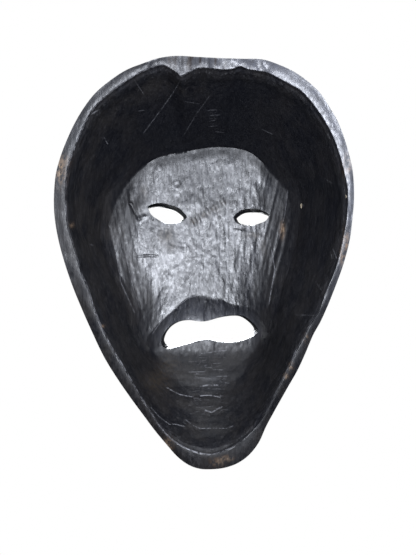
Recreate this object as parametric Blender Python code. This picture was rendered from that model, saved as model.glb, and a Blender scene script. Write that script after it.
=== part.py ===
"""Carved wooden face mask, hollowed from one block, with two small wooden pegs in its side wall.

World frame: +Z up, the face looks along -Y and the hollow opens along +Y.
The rim's back face lies in the plane y = 0, and the origin is on that face at the top of the rim.
Every measure in the design section is in millimetres, with heights taken from the rim's top edge.
"""

import math

import bmesh
import bpy
import numpy as np
from mathutils import Vector

# ---------------------------------------------------------------- driving dimensions, mm
MM = 0.001
GAP = 0.3  # clearance round a peg in its hole
HOLE_LEAD = 5.0  # how far a hole's cutter starts outside the wall

# The world's origin, as a height in the design: the middle of the rim's flat face at the top
ORIGIN_Z = -6.5

# Middle of every ring of the loft, (x, z)
POLE = (0.0, -150.0)

# Hewn outline of the rim in the plane y = 0, as (x, z) corners, read from the top round by -X
RIM_OUTLINE = (
    (25, -1), (4, -1.5), (-12, -2.5), (-30, -3), (-40, -3), (-48, -4.5), (-56, -7.5), (-65, -11.5),
    (-73, -16.5), (-80, -22), (-87, -29), (-93, -38), (-99, -48), (-104, -60), (-108, -73),
    (-111, -86), (-112, -98), (-112, -110), (-111, -122), (-109, -138), (-105, -154), (-98, -174),
    (-92, -189), (-87, -200), (-82, -209), (-76, -223), (-70, -236), (-62, -250), (-53, -266),
    (-46, -279), (-41, -290), (-34, -299), (-26, -305), (-17, -308.5), (-6, -310), (4, -309.5),
    (12, -306.5), (20, -300.5), (28, -291.5), (36, -282), (45, -270), (55, -256.5), (65, -242),
    (74, -227.5), (83, -209), (91, -191), (99, -171), (105.5, -151), (109.5, -135), (112, -117),
    (112, -102), (110.5, -88), (107.5, -77), (103, -65), (97, -52), (90, -40), (81, -28.5),
    (71, -20), (60, -12.5), (46, -6.5), (34, -2.5),
)  # fmt: skip

# Inner edge of the rim's flat face, where the hollow starts, as (x, z) corners
RIM_INNER = (
    (21, -9), (8, -9.5), (-5, -10), (-16, -11), (-30, -10.5), (-38, -11.5), (-47, -13), (-55, -17),
    (-65, -22.5), (-72, -26.5), (-78, -32.5), (-84, -40), (-90, -49), (-96, -60), (-100, -70.5),
    (-103, -80), (-105.5, -90), (-107.5, -102), (-107.5, -113), (-106.5, -124), (-104.5, -135),
    (-101.5, -149), (-98, -161), (-93, -173), (-88.5, -185), (-85, -194), (-79, -203), (-74, -213),
    (-69, -222), (-65, -231), (-60, -241), (-52, -256.5), (-45, -270), (-37, -280.5), (-28, -288.5),
    (-21, -293.5), (-13, -297), (-5, -299), (3, -298), (12, -295), (20, -290.5), (27, -285),
    (34, -277), (41, -266), (48, -255), (55, -243), (62, -231), (70, -218), (77, -203.5),
    (83, -188.5), (87, -175), (91, -166), (95, -153), (98, -142.5), (101, -133), (103, -123),
    (103.5, -112.5), (104, -103.5), (103.5, -94.5), (102, -84), (99, -75), (92, -57), (87, -46.5),
    (80, -36.5), (71, -28.5), (61, -21), (51, -14.5), (40, -10), (30, -8.5),
)  # fmt: skip

# Foot of the hollow's wall, where it turns into the face plate, as (x, z) corners
FOOT_OUTLINE = (
    (12, -66), (-14, -63), (-36, -67), (-53, -83), (-67, -102), (-66, -128), (-58, -160),
    (-50, -190), (-40, -224), (-10, -240), (22, -238), (44, -222), (55, -190), (68, -160),
    (76, -137), (73, -116), (62, -93), (42, -74),
)  # fmt: skip

FOOT_DEPTH = 66.0  # from the rim plane to the foot of the wall
CHIN_FOOT_DEPTH = 58.0  # the same below the mouth, where the hollow rises to the chin
SIDE_FOOT_RISE = 5.0  # how much shallower the foot is at the cheeks, where the plate slopes up to it
PLATE_DISH = 5.0  # how much deeper the middle of the plate is than its foot
LIP_HOLLOW = 8.0  # extra depth of the scoop behind the lips

FRONT_DEPTH = 98.0  # from the rim plane to the plain dome of the face, without its relief
DOME_ROUND = 2.4  # how square the dome is seen from the front
DOME_SIDE = 2.3  # how straight its side wall stands on the rim

FACE_X = -3.5  # the face's centre line is carved this far off the middle of the rim
EYE_Z = -117.0
EYE_APART = 35.5  # each eye's middle from the face's centre line
NOSE_TOP, NOSE_TIP, NOSE_FOOT = -103.0, -184.0, -193.0
MOUTH_Z = -210.0
CHIN_Z = -258.0

# Eye openings at the waist: middle (x, z), half length, half height, tilt in degrees
EYE_OPENINGS = {
    "eye_cutter_a": ((31.7, -116.0), 15.5, 6.0, 14.0),
    "eye_cutter_b": ((-39.4, -119.0), 14.2, 5.4, -3.0),
}
EYE_WAIST_DEPTH = 80.0

# Mouth opening at the waist, as (x, z) corners
MOUTH_OPENING = (
    (33, -219), (30, -211), (24, -205), (15, -201), (2, -202), (-12, -199), (-27, -197.5),
    (-37, -201), (-42, -207), (-39, -213), (-27, -217), (-12, -219), (0, -217), (12, -220.5),
    (27, -224),
)  # fmt: skip
MOUTH_WAIST_DEPTH = 85.0

# Pegs: bearing on the wall in degrees, share of the way to the foot, radius, length
PEGS = {
    "rim_peg": (157.5, 0.045, 1.3, 3.6),
    "wall_peg": (152.6, 0.82, 1.9, 9.0),
}
PEG_PROUD = 0.4  # how far a peg's end stands out of the wall

# ---------------------------------------------------------------- mesh resolution
SPOKES = 96  # points round each ring
WALL_RINGS = 9
PLATE_RINGS = 12
FRONT_SHARES = (1.0, 0.992, 0.975, 0.95, 0.92, 0.885)  # outer rings where the side wall turns
FRONT_RINGS = 21  # rings from the last of those to the pole


def smooth_through(knots, values, at, period):
    """A smooth closed curve of value over knot, read at each point of at."""
    order = np.argsort(knots)
    k = np.asarray(knots, float)[order]
    v = np.asarray(values, float)[order]
    k = np.concatenate((k[-2:] - period, k, k[:2] + period))
    v = np.concatenate((v[-2:], v, v[:2]))
    rise = np.diff(v) / np.diff(k)
    step = np.diff(k)
    slope = (rise[:-1] * step[1:] + rise[1:] * step[:-1]) / (step[1:] + step[:-1])
    slope = np.concatenate(([rise[0]], slope, [rise[-1]]))
    at = np.mod(at - k[1], period) + k[1]
    i = np.clip(np.searchsorted(k, at, side="right") - 1, 1, len(k) - 3)
    h = step[i]
    s = (at - k[i]) / h
    return (
        v[i] * (1 + 2 * s) * (1 - s) ** 2
        + slope[i] * h * s * (1 - s) ** 2
        + v[i + 1] * s**2 * (3 - 2 * s)
        + slope[i + 1] * h * s**2 * (s - 1)
    )


def outline_radius(corners, angles):
    """Distance from the pole to a closed outline, at each angle."""
    x = np.array([c[0] for c in corners]) - POLE[0]
    z = np.array([c[1] for c in corners]) - POLE[1]
    bearing = np.mod(np.arctan2(z, x), 2 * math.pi)
    return smooth_through(bearing, np.hypot(x, z), angles, 2 * math.pi)


def bump(x, z, at, reach):
    """A soft round swelling of height 1."""
    return np.exp(-(((x - at[0]) / reach[0]) ** 2) - ((z - at[1]) / reach[1]) ** 2)


def ramp(value, low, high):
    """0 below low, 1 above high, smooth between."""
    s = np.clip((value - low) / (high - low), 0, 1)
    return s * s * (3 - 2 * s)


# ---------------------------------------------------------------- surfaces, mm
def nose_relief(u, z):
    """Straight wedge of the nose with rounded wings: u is the distance from the centre line."""
    down = np.clip((NOSE_TOP - z) / (NOSE_TOP - NOSE_TIP), 0, 1)
    half_width = 8 + 6 * down
    height = 3 + 15 * down
    ridge = height * np.exp(-(np.abs(u / half_width) ** 2.2))
    ridge = ridge * ramp(z, NOSE_FOOT - 3, NOSE_TIP) * (1 - ramp(z, NOSE_TOP - 8, NOSE_TOP + 12))
    wings = 8 * (bump(u, z, (11, NOSE_TIP), (7, 8)) + bump(u, z, (-11, NOSE_TIP), (7, 8)))
    return np.maximum(ridge, wings)


def eye_relief(u, z):
    """Socket, brow and swelling lids of one eye, with u measured from that eye's middle."""
    socket = -6 * bump(u, z, (0, EYE_Z - 2), (26, 19))
    arch = EYE_Z + 22 - 0.008 * u**2
    brow = 4 * np.exp(-(((z - arch) / 8) ** 2) - (u / 27) ** 4)
    lids = 5 * bump(u, z, (0, EYE_Z), (20, 10))
    return socket + brow + lids


def mouth_relief(u, z):
    """Full lips round the mouth opening."""
    taper = np.exp(-((u / 40) ** 4))
    upper = 7 * np.exp(-(((z - MOUTH_Z - 15 + 0.004 * u**2) / 8) ** 2))
    lower = 7 * np.exp(-(((z - MOUTH_Z + 17 - 0.004 * u**2) / 8) ** 2))
    return taper * (upper + lower)


def front_relief(x, z):
    """How far the carved features stand out from the plain dome."""
    u = x - FACE_X
    chin = 6.0 * bump(u, z, (0, CHIN_Z), (20, 13))
    cheeks = 3.5 * (bump(u, z, (50, -158), (20, 26)) + bump(u, z, (-50, -158), (20, 26)))
    forehead = 3.0 * bump(u, z, (0, -70), (45, 26))
    eyes = eye_relief(u - EYE_APART, z) + eye_relief(u + EYE_APART, z)
    return chin + cheeks + forehead + eyes + nose_relief(u, z) + mouth_relief(u, z)


def front_surface(angles, share):
    """Points (x, y, z) of the outer surface on the ring at this share of the rim outline."""
    radius = outline_radius(RIM_OUTLINE, angles) * share
    x = POLE[0] + radius * np.cos(angles)
    z = POLE[1] + radius * np.sin(angles)
    dome = FRONT_DEPTH * (1 - share**DOME_ROUND) ** (1 / DOME_SIDE)
    fade = 1 - ramp(np.full_like(x, share), 0.8, 0.97)
    return np.stack((x, -dome - fade * front_relief(x, z), z), axis=-1)


def foot_depth(angles):
    """Depth of the wall's foot: less below the mouth and at the cheeks."""
    towards_chin = np.clip(-np.sin(angles), 0, 1) ** 3
    at_cheeks = ramp(np.abs(np.cos(angles)), 0.45, 0.85)
    return FOOT_DEPTH + (CHIN_FOOT_DEPTH - FOOT_DEPTH) * towards_chin - SIDE_FOOT_RISE * at_cheeks


def lip_hollow(x, z):
    """Scoop behind the lips: it starts at an arch over the mouth and fades below it."""
    u = x - FACE_X
    arch = MOUTH_Z + 28 - 0.011 * u**2
    return LIP_HOLLOW * (1 - ramp(z, arch - 12, arch)) * ramp(z, MOUTH_Z - 30, MOUTH_Z - 8)


def wall_surface(angles, step):
    """Points of the hollow's wall: step runs from 0 at the rim to 1 at the foot."""
    start = outline_radius(RIM_INNER, angles)
    end = outline_radius(FOOT_OUTLINE, angles)
    run = np.interp(step, (0, 0.2, 0.85, 1), (0, 0.18, 0.8, 1))
    drop = np.interp(step, (0, 0.2, 0.85, 1), (0, 0.22, 0.9, 1))
    radius = start + (end - start) * run
    x = POLE[0] + radius * np.cos(angles)
    z = POLE[1] + radius * np.sin(angles)
    return np.stack((x, -foot_depth(angles) * drop, z), axis=-1)


def plate_surface(angles, share):
    """Points of the face plate on the ring at this share of the foot outline."""
    radius = outline_radius(FOOT_OUTLINE, angles) * share
    x = POLE[0] + radius * np.cos(angles)
    z = POLE[1] + radius * np.sin(angles)
    rise_to_foot = share**4 * (FOOT_DEPTH - foot_depth(angles))
    depth = FOOT_DEPTH - rise_to_foot + PLATE_DISH * (1 - share**2)
    return np.stack((x, -depth - (1 - share**6) * lip_hollow(x, z), z), axis=-1)


# ---------------------------------------------------------------- mesh helpers
def in_world(points):
    """Design millimetres to metres in the world frame."""
    return (points - np.array((0.0, 0.0, ORIGIN_Z))) * MM


def new_object(name, verts, faces, collection):
    mesh = bpy.data.meshes.new(name)
    mesh.from_pydata([tuple(v) for v in verts], [], faces)
    bm = bmesh.new()
    bm.from_mesh(mesh)
    bmesh.ops.triangulate(bm, faces=bm.faces)  # a Boolean needs flat faces
    bmesh.ops.recalc_face_normals(bm, faces=bm.faces)
    bm.to_mesh(mesh)
    bm.free()
    obj = bpy.data.objects.new(name, mesh)
    collection.objects.link(obj)
    return obj


def loft(rings, name, collection, closed_ends):
    """Joins rings of equal length, and caps each end with a face or, for the body, a pole point."""
    count = len(rings[0])
    verts = in_world(np.concatenate(rings))
    faces = []
    for r in range(len(rings) - 1):
        for i in range(count):
            j = (i + 1) % count
            faces.append((r * count + i, r * count + j, (r + 1) * count + j, (r + 1) * count + i))
    last = (len(rings) - 1) * count
    if closed_ends:
        faces.append(tuple(range(count)))
        faces.append(tuple(range(last, last + count)))
    else:
        middles = [ring.mean(axis=0) for ring in (rings[0], rings[-1])]
        verts = np.concatenate((verts, in_world(np.array(middles))))
        for i in range(count):
            j = (i + 1) % count
            faces.append((i, j, len(verts) - 2))
            faces.append((last + i, last + j, len(verts) - 1))
    return new_object(name, verts, faces, collection)


def smooth(obj, degrees):
    obj.data.shade_smooth()
    obj.data.set_sharp_from_angle(angle=math.radians(degrees))


def material(name, colour, roughness):
    mat = bpy.data.materials.new(name)
    mat.use_nodes = True
    shader = mat.node_tree.nodes["Principled BSDF"]
    shader.inputs["Base Color"].default_value = (*colour, 1)
    shader.inputs["Roughness"].default_value = roughness
    shader.inputs["Metallic"].default_value = 0
    return mat


def cut(body, cutter):
    """Takes the cutter's shape out of the body and keeps the cutter as a hidden guide."""
    cutter.hide_render = True
    cutter.display_type = "WIRE"
    boolean = body.modifiers.new(cutter.name, "BOOLEAN")
    boolean.operation = "DIFFERENCE"
    boolean.object = cutter


# ---------------------------------------------------------------- sub-parts
def mask_body(collection):
    """The carved block: plate, wall and rim of the hollow, then the side and front of the face."""
    angles = np.linspace(0, 2 * math.pi, SPOKES, endpoint=False)
    rings = [plate_surface(angles, k / PLATE_RINGS) for k in range(1, PLATE_RINGS)]
    rings += [wall_surface(angles, 1 - k / WALL_RINGS) for k in range(WALL_RINGS + 1)]
    rings += [front_surface(angles, share) for share in FRONT_SHARES]
    last = FRONT_SHARES[-1]
    rings += [front_surface(angles, last * (1 - k / FRONT_RINGS)) for k in range(1, FRONT_RINGS)]
    return loft(rings, "mask_body", collection, closed_ends=False)


def lens_outline(half_length, half_height, count=24):
    """An almond outline with narrow ends."""
    t = np.linspace(0, 2 * math.pi, count, endpoint=False)
    return half_length * np.cos(t), half_height * np.sin(t) * np.abs(np.sin(t)) ** 0.2


def eye_cutter(name, middle, half_length, half_height, tilt, collection):
    """A flared almond hole, wider behind and drawn towards the nose there."""
    towards_nose = -1 if middle[0] > FACE_X else 1
    lean = math.radians(tilt)
    rings = []
    for depth, grow, shift in ((50, 1.9, 9.0), (EYE_WAIST_DEPTH, 1.0, 0.0), (130, 1.35, 0.0)):
        x, z = lens_outline(half_length * (0.7 + 0.3 * grow), half_height * grow)
        across = middle[0] + x * math.cos(lean) - z * math.sin(lean) + towards_nose * shift
        up = middle[1] + x * math.sin(lean) + z * math.cos(lean) + 0.25 * shift
        rings.append(np.stack((across, np.full_like(x, -depth), up), axis=-1))
    return loft(rings, name, collection, closed_ends=True)


def mouth_cutter(collection):
    """A wide wavy slot, a little wider at both faces than at its waist."""
    corners = np.array(MOUTH_OPENING, float)
    middle = corners.mean(axis=0)
    rings = []
    for depth, grow in ((45, 1.16), (MOUTH_WAIST_DEPTH, 1.0), (130, 1.15)):
        spread = middle + (corners - middle) * (0.5 + 0.5 * grow, grow)
        rings.append(np.stack((spread[:, 0], np.full(len(spread), -float(depth)), spread[:, 1]), axis=-1))
    return loft(rings, "mouth_cutter", collection, closed_ends=True)


def peg_place(bearing, step):
    """A point on the hollow's wall and the direction into the wood there."""
    around = np.radians([bearing, bearing + 1, bearing])
    along = (step, step, step + 0.02)
    here, beside, below = (wall_surface(around[i : i + 1], along[i])[0] for i in range(3))
    into = np.cross(beside - here, below - here)
    into /= np.linalg.norm(into)
    return here, into if into[1] < 0 else -into


def peg_solid(name, radius, start, end, at, into, collection):
    """A round bar along into, from start to end measured from the wall's surface at."""
    bm = bmesh.new()
    bmesh.ops.create_cone(
        bm, cap_ends=True, segments=16, radius1=radius * MM, radius2=radius * MM, depth=(end - start) * MM
    )
    mesh = bpy.data.meshes.new(name)
    bm.to_mesh(mesh)
    bm.free()
    obj = bpy.data.objects.new(name, mesh)
    collection.objects.link(obj)
    obj.location = in_world(at + into * (start + end) / 2)
    obj.rotation_mode = "QUATERNION"
    obj.rotation_quaternion = Vector(into).to_track_quat("Z", "Y")
    return obj


def main():
    for old in list(bpy.data.objects):
        bpy.data.objects.remove(old, do_unlink=True)
    parts = bpy.data.collections.new("carved_wooden_mask")
    cutters = bpy.data.collections.new("cutters")
    bpy.context.scene.collection.children.link(parts)
    bpy.context.scene.collection.children.link(cutters)

    body = mask_body(parts)
    body.data.materials.append(material("blackened_wood", (0.035, 0.033, 0.036), 0.45))
    for name, opening in EYE_OPENINGS.items():
        cut(body, eye_cutter(name, *opening, cutters))
    cut(body, mouth_cutter(cutters))

    pale = material("pale_peg_wood", (0.62, 0.52, 0.38), 0.6)
    for name, (bearing, step, radius, length) in PEGS.items():
        at, into = peg_place(bearing, step)
        peg = peg_solid(name, radius, -PEG_PROUD, length, at, into, parts)
        peg.data.materials.append(pale)
        smooth(peg, 40)
        cut(body, peg_solid(name + "_hole", radius + GAP, -HOLE_LEAD, length + GAP, at, into, cutters))
    smooth(body, 45)


main()
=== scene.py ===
"""Carved wooden mask seen from behind: its carved surface, blackened wood, light and camera.

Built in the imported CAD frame, which is in metres. Lengths in the form sections are millimetres,
with heights taken from the rim's top edge, and ORIGIN_Z takes them to the frame.
"""

import math

import bmesh
import bpy
import numpy as np
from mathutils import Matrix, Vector


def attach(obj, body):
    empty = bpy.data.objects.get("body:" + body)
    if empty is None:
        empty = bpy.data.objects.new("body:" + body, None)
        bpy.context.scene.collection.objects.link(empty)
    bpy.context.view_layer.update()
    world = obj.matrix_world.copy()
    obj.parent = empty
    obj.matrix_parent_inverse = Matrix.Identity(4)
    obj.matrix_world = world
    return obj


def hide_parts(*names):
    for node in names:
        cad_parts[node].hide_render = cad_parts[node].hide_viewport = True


MM = 0.001

# ---------------------------------------------------------------- the carving's form, mm
# The rim's outer edge, the wall's foot and the plain depths are those of the CAD. The lug is only
# here, the mouth's opening has more corners, the scoop is shallower, and the eyes' openings are a
# little shorter.

# The frame's origin, as a height in the design
ORIGIN_Z = -6.5

# Middle of every ring of the skin, (x, z)
POLE = (0.0, -150.0)

# Hewn outline of the rim in the plane y = 0, as (x, z) corners from the top round by -X
RIM_OUTLINE = (
    (25, -1), (4, -1.5), (-12, -2.5), (-30, -3), (-40, -3), (-48, -4.5), (-56, -7.5), (-65, -11.5),
    (-73, -16.5), (-80, -22), (-87, -29), (-93, -38), (-99, -48), (-104, -60), (-108, -73),
    (-111, -86), (-112, -98), (-112, -110), (-111, -122), (-109, -138), (-105, -154), (-98, -174),
    (-92, -189), (-87, -200), (-82, -209), (-76, -223), (-70, -236), (-62, -250), (-53, -266),
    (-46, -279), (-41, -290), (-34, -299), (-26, -305), (-17, -308.5), (-6, -310), (4, -309.5),
    (12, -306.5), (20, -300.5), (28, -291.5), (36, -282), (45, -270), (55, -256.5), (65, -242),
    (74, -227.5), (83, -209), (91, -191), (99, -171), (105.5, -151), (109.5, -135), (112, -117),
    (112, -102), (110.5, -88), (107.5, -77), (103, -65), (97, -52), (90, -40), (81, -28.5),
    (71, -20), (60, -12.5), (46, -6.5), (34, -2.5),
)  # fmt: skip

# Inner edge of the rim's face, with the lug left standing at the top
RIM_INNER = (
    (25, -10), (21, -13), (17, -15.5), (14, -14), (8, -11), (2, -9.5), (-5, -10), (-16, -11), (-23, -10),
    (-27, -8.5), (-32, -10.5), (-38, -11.5), (-47, -13), (-55, -17),
    (-65, -22.5), (-72, -26.5), (-78, -32.5), (-84, -40), (-90, -49), (-96, -60), (-100, -70.5),
    (-103, -80), (-105.5, -90), (-107.5, -102), (-107.5, -113), (-106.5, -124), (-104.5, -135),
    (-101.5, -149), (-98, -161), (-93, -173), (-88.5, -185), (-85, -194), (-79, -203), (-74, -213),
    (-69, -222), (-65, -231), (-60, -241), (-52, -256.5), (-45, -270), (-37, -280.5), (-28, -288.5),
    (-21, -293.5), (-13, -297), (-5, -299), (3, -298), (12, -295), (20, -290.5), (27, -285),
    (34, -277), (41, -266), (48, -255), (55, -243), (62, -231), (70, -218), (77, -203.5),
    (83, -188.5), (87, -175), (91, -166), (95, -153), (98, -142.5), (101, -133), (103, -123),
    (103.5, -112.5), (104, -103.5), (103.5, -94.5), (102, -84), (99, -75), (92, -57), (87, -46.5),
    (80, -36.5), (71, -28.5), (61, -21), (51, -14.5), (40, -9.5), (30, -7.5),
)  # fmt: skip

# Foot of the hollow's wall, where it turns into the face plate
FOOT_OUTLINE = (
    (12, -66), (-14, -63), (-36, -67), (-53, -83), (-67, -102), (-66, -128), (-58, -160),
    (-50, -190), (-40, -224), (-10, -240), (22, -238), (44, -222), (55, -190), (68, -160),
    (76, -137), (73, -116), (62, -93), (42, -74),
)  # fmt: skip

FOOT_DEPTH = 66.0  # from the rim plane to the foot of the wall
CHIN_FOOT_DEPTH = 58.0  # the same below the mouth, where the hollow rises to the chin
SIDE_FOOT_RISE = 5.0  # how much shallower the foot is at the cheeks
PLATE_DISH = 5.0  # how much deeper the middle of the plate is than its foot
LIP_HOLLOW = 4.6  # extra depth of the scoop behind the lips
INSET = 0.1  # keeps the skin's outer edge inside the CAD model's box

FRONT_DEPTH = 98.0  # from the rim plane to the plain dome of the face
DOME_ROUND = 2.4  # how square the dome is seen from the front
DOME_SIDE = 2.3  # how straight its side wall stands on the rim

FACE_X = -3.5  # the face's centre line is carved this far off the middle of the rim
EYE_Z = -117.0
NOSE_TOP, NOSE_TIP, NOSE_FOOT = -103.0, -184.0, -193.0
CHIN_Z = -258.0

# Eye openings at their waist: middle (x, z), half length, half height, tilt in degrees
EYE_OPENINGS = (
    ((31.7, -116.0), 15.0, 6.0, 14.0),
    ((-39.4, -119.0), 13.6, 5.4, -3.0),
)
# Sections of an eye's cutter: depth, height against the waist's, shift towards the nose
EYE_SECTIONS = ((50, 1.9, 9.0), (66, 1.38, 3.6), (73, 1.1, 1.2), (80, 1.0, 0), (90, 1.0, 0), (130, 1.6, 0))

# Mouth opening at its waist, as (x, z) corners
MOUTH_OPENING = (
    (32.5, -216), (32.3, -218.5), (30.5, -221), (27.3, -222.3), (20.5, -220.8), (12, -218.6),
    (4.5, -216.5), (-2, -215.8), (-9, -217), (-17, -217.7), (-25, -217.2), (-32, -215.2), (-37, -213.2),
    (-39.8, -210.5), (-40, -207.2), (-35.5, -202), (-29, -198), (-21.5, -197.5), (-12, -199),
    (-3, -201.5), (3, -202), (12, -201), (19.5, -202), (26, -205.5), (30.5, -210.8),
)  # fmt: skip
# Sections of the mouth's cutter: depth, height against the waist's
MOUTH_SECTIONS = ((45, 1.3), (66, 1.12), (76, 1.03), (85, 1.0), (96, 1.0), (130, 1.3))

# Upper edge of the scoop behind the lips, from +X to -X
LIP_ARCH = (
    (48, -224), (44, -213), (38, -205), (31, -198), (24, -192), (15, -184), (9, -181), (0, -182),
    (-8, -184), (-14, -184), (-21, -188), (-31, -190), (-39, -192), (-46, -199), (-50, -210),
)  # fmt: skip

# ---------------------------------------------------------------- mesh resolution
SPOKES = 640  # points round a ring before any are skipped
WALL_RINGS = 66
PLATE_RINGS = 68
RIM_SHARES = (0.0, 0.06, 0.2, 0.35, 0.5, 0.65, 0.8, 0.94, 1.0)  # rings of the rim's face
SIDE_RINGS = 16
CHEEK_RINGS = 10
FRONT_RINGS = 46
SIDE_SHARE, CHEEK_SHARE = 0.84, 0.6  # where the side's rings and the cheeks' rings end
SHARP_ANGLE = 38.0  # degrees


# ---------------------------------------------------------------- curves and noise
def smooth_through(knots, values, at, period):
    """A smooth closed curve of value over knot, read at each point of at."""
    order = np.argsort(knots)
    k = np.asarray(knots, float)[order]
    v = np.asarray(values, float)[order]
    k = np.concatenate((k[-2:] - period, k, k[:2] + period))
    v = np.concatenate((v[-2:], v, v[:2]))
    rise = np.diff(v) / np.diff(k)
    step = np.diff(k)
    slope = (rise[:-1] * step[1:] + rise[1:] * step[:-1]) / (step[1:] + step[:-1])
    slope = np.concatenate(([rise[0]], slope, [rise[-1]]))
    at = np.mod(at - k[1], period) + k[1]
    i = np.clip(np.searchsorted(k, at, side="right") - 1, 1, len(k) - 3)
    h = step[i]
    s = (at - k[i]) / h
    return (
        v[i] * (1 + 2 * s) * (1 - s) ** 2
        + slope[i] * h * s * (1 - s) ** 2
        + v[i + 1] * s**2 * (3 - 2 * s)
        + slope[i + 1] * h * s**2 * (s - 1)
    )


def outline_radius(corners, angles):
    """Distance from the pole to a closed outline, at each angle."""
    x = np.array([c[0] for c in corners]) - POLE[0]
    z = np.array([c[1] for c in corners]) - POLE[1]
    bearing = np.mod(np.arctan2(z, x), 2 * math.pi)
    return smooth_through(bearing, np.hypot(x, z), angles, 2 * math.pi)


def ramp(value, low, high):
    """0 below low, 1 above high, smooth between."""
    s = np.clip((value - low) / (high - low), 0, 1)
    return s * s * (3 - 2 * s)


def bump(x, z, at, reach):
    """A soft round swelling of height 1."""
    return np.exp(-(((x - at[0]) / reach[0]) ** 2) - ((z - at[1]) / reach[1]) ** 2)


def window(x, z, low, high, soft):
    """1 inside the rectangle from low to high, fading out over soft."""
    return (
        ramp(x, low[0] - soft, low[0] + soft)
        * (1 - ramp(x, high[0] - soft, high[0] + soft))
        * ramp(z, low[1] - soft, low[1] + soft)
        * (1 - ramp(z, high[1] - soft, high[1] + soft))
    )


def chance(i, j, seed):
    """A fixed number from 0 to 1 for each whole i, j and seed."""
    v = np.sin(i * 127.1 + j * 311.7 + seed * 74.7) * 43758.5453
    return v - np.floor(v)


def noise(a, b, seed):
    """Smooth noise from -1 to 1 with one swing a unit."""
    i, j = np.floor(a), np.floor(b)
    s, t = a - i, b - j
    s, t = s * s * (3 - 2 * s), t * t * (3 - 2 * t)
    low = chance(i, j, seed) * (1 - s) + chance(i + 1, j, seed) * s
    high = chance(i, j + 1, seed) * (1 - s) + chance(i + 1, j + 1, seed) * s
    return 2 * (low * (1 - t) + high * t) - 1


def rough_noise(a, b, seed, octaves=3):
    """Noise with finer noise added, each time twice as fine and half as high."""
    total = np.zeros(np.broadcast(a, b).shape)
    for k in range(octaves):
        total += noise(a * 2**k, b * 2**k, seed + 7 * k) / 2**k
    return total


def scoops(a, b, seed, around=None):
    """Overlapping gouge cuts, one a unit each way: 0 in the middle of a cut, up to about 0.6 between."""
    i, j = np.floor(a), np.floor(b)
    lowest = np.full(np.broadcast(a, b).shape, 9.0)
    for di in (-1, 0, 1):
        for dj in (-1, 0, 1):
            ci, cj = i + di, j + dj
            key = np.mod(ci, around) if around else ci
            across = a - ci - 0.5 - 0.7 * (chance(key, cj, seed) - 0.5)
            along = b - cj - 0.5 - 0.7 * (chance(key, cj, seed + 1) - 0.5)
            lowest = np.minimum(lowest, across**2 + along**2 + 0.3 * chance(key, cj, seed + 2))
    return lowest


def stroke(x, z, start, end, width):
    """1 on a straight line from start to end, falling to 0 at width from it."""
    ax, az = end[0] - start[0], end[1] - start[1]
    share = np.clip(((x - start[0]) * ax + (z - start[1]) * az) / (ax * ax + az * az), 0, 1)
    off = np.hypot(x - start[0] - share * ax, z - start[1] - share * az)
    return np.exp(-((off / width) ** 2))


def distance_to(x, z, corners):
    """Distance of each point from a closed line through corners."""
    nearest = np.full(x.shape, 1e9)
    for (x0, z0), (x1, z1) in zip(corners, corners[1:] + corners[:1], strict=True):
        ax, az = x1 - x0, z1 - z0
        share = np.clip(((x - x0) * ax + (z - z0) * az) / (ax * ax + az * az), 0, 1)
        nearest = np.minimum(nearest, np.hypot(x - x0 - share * ax, z - z0 - share * az))
    return nearest


# ---------------------------------------------------------------- the hollow, mm
def lip_scoop(x, z):
    """Depth of the scoop under the arch, cut in two lobes."""
    arch = np.interp(x, [p[0] for p in LIP_ARCH[::-1]], [p[1] for p in LIP_ARCH[::-1]])
    below = np.clip((arch - z) / 21, 0, 1)
    crease = 0.7 * np.exp(-(((x + 1) / 1.3) ** 2)) * ramp(below, 0.05, 0.3) * ramp(z, -212, -205)
    depth = LIP_HOLLOW * (1 - (1 - below) ** 1.25) - crease
    sides = ramp(x, -51, -44) * (1 - ramp(x, 41, 49))
    return depth * sides * ramp(z, -246, -224)


def foot_depth(angles):
    """Depth of the wall's foot: less below the mouth and at the cheeks."""
    towards_chin = np.clip(-np.sin(angles), 0, 1) ** 3
    at_cheeks = ramp(np.abs(np.cos(angles)), 0.45, 0.85)
    return FOOT_DEPTH + (CHIN_FOOT_DEPTH - FOOT_DEPTH) * towards_chin - SIDE_FOOT_RISE * at_cheeks


def wall_points(angles, step):
    """The wall from the rim (0) to the foot (1): a bevel first, and a crisp foot over the brow."""
    start = outline_radius(RIM_INNER, angles)
    end = outline_radius(FOOT_OUTLINE, angles)
    brow = ramp(np.sin(angles), 0.5, 0.8)
    run = np.interp(step, (0, 0.09, 0.2, 0.85, 1), (0, 0.08, 0.175, 0.8, 1))
    run += brow * (np.interp(step, (0, 0.09, 0.2, 1), (0, 0.08, 0.175, 1)) - run)
    drop = np.interp(step, (0, 0.006, 0.09, 0.2, 0.85, 1), (0, 0.010, 0.055, 0.2, 0.9, 1))
    drop += brow * (np.interp(step, (0, 0.006, 0.09, 0.2, 1), (0, 0.010, 0.055, 0.2, 1)) - drop)
    return start + (end - start) * run, -foot_depth(angles) * drop


def plate_points(angles, share):
    """The face plate from its middle (0) to the wall's foot (1)."""
    rise = share**4 * (FOOT_DEPTH - foot_depth(angles))
    depth = FOOT_DEPTH - rise + PLATE_DISH * (1 - share**2)
    return outline_radius(FOOT_OUTLINE, angles) * share, -depth


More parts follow.
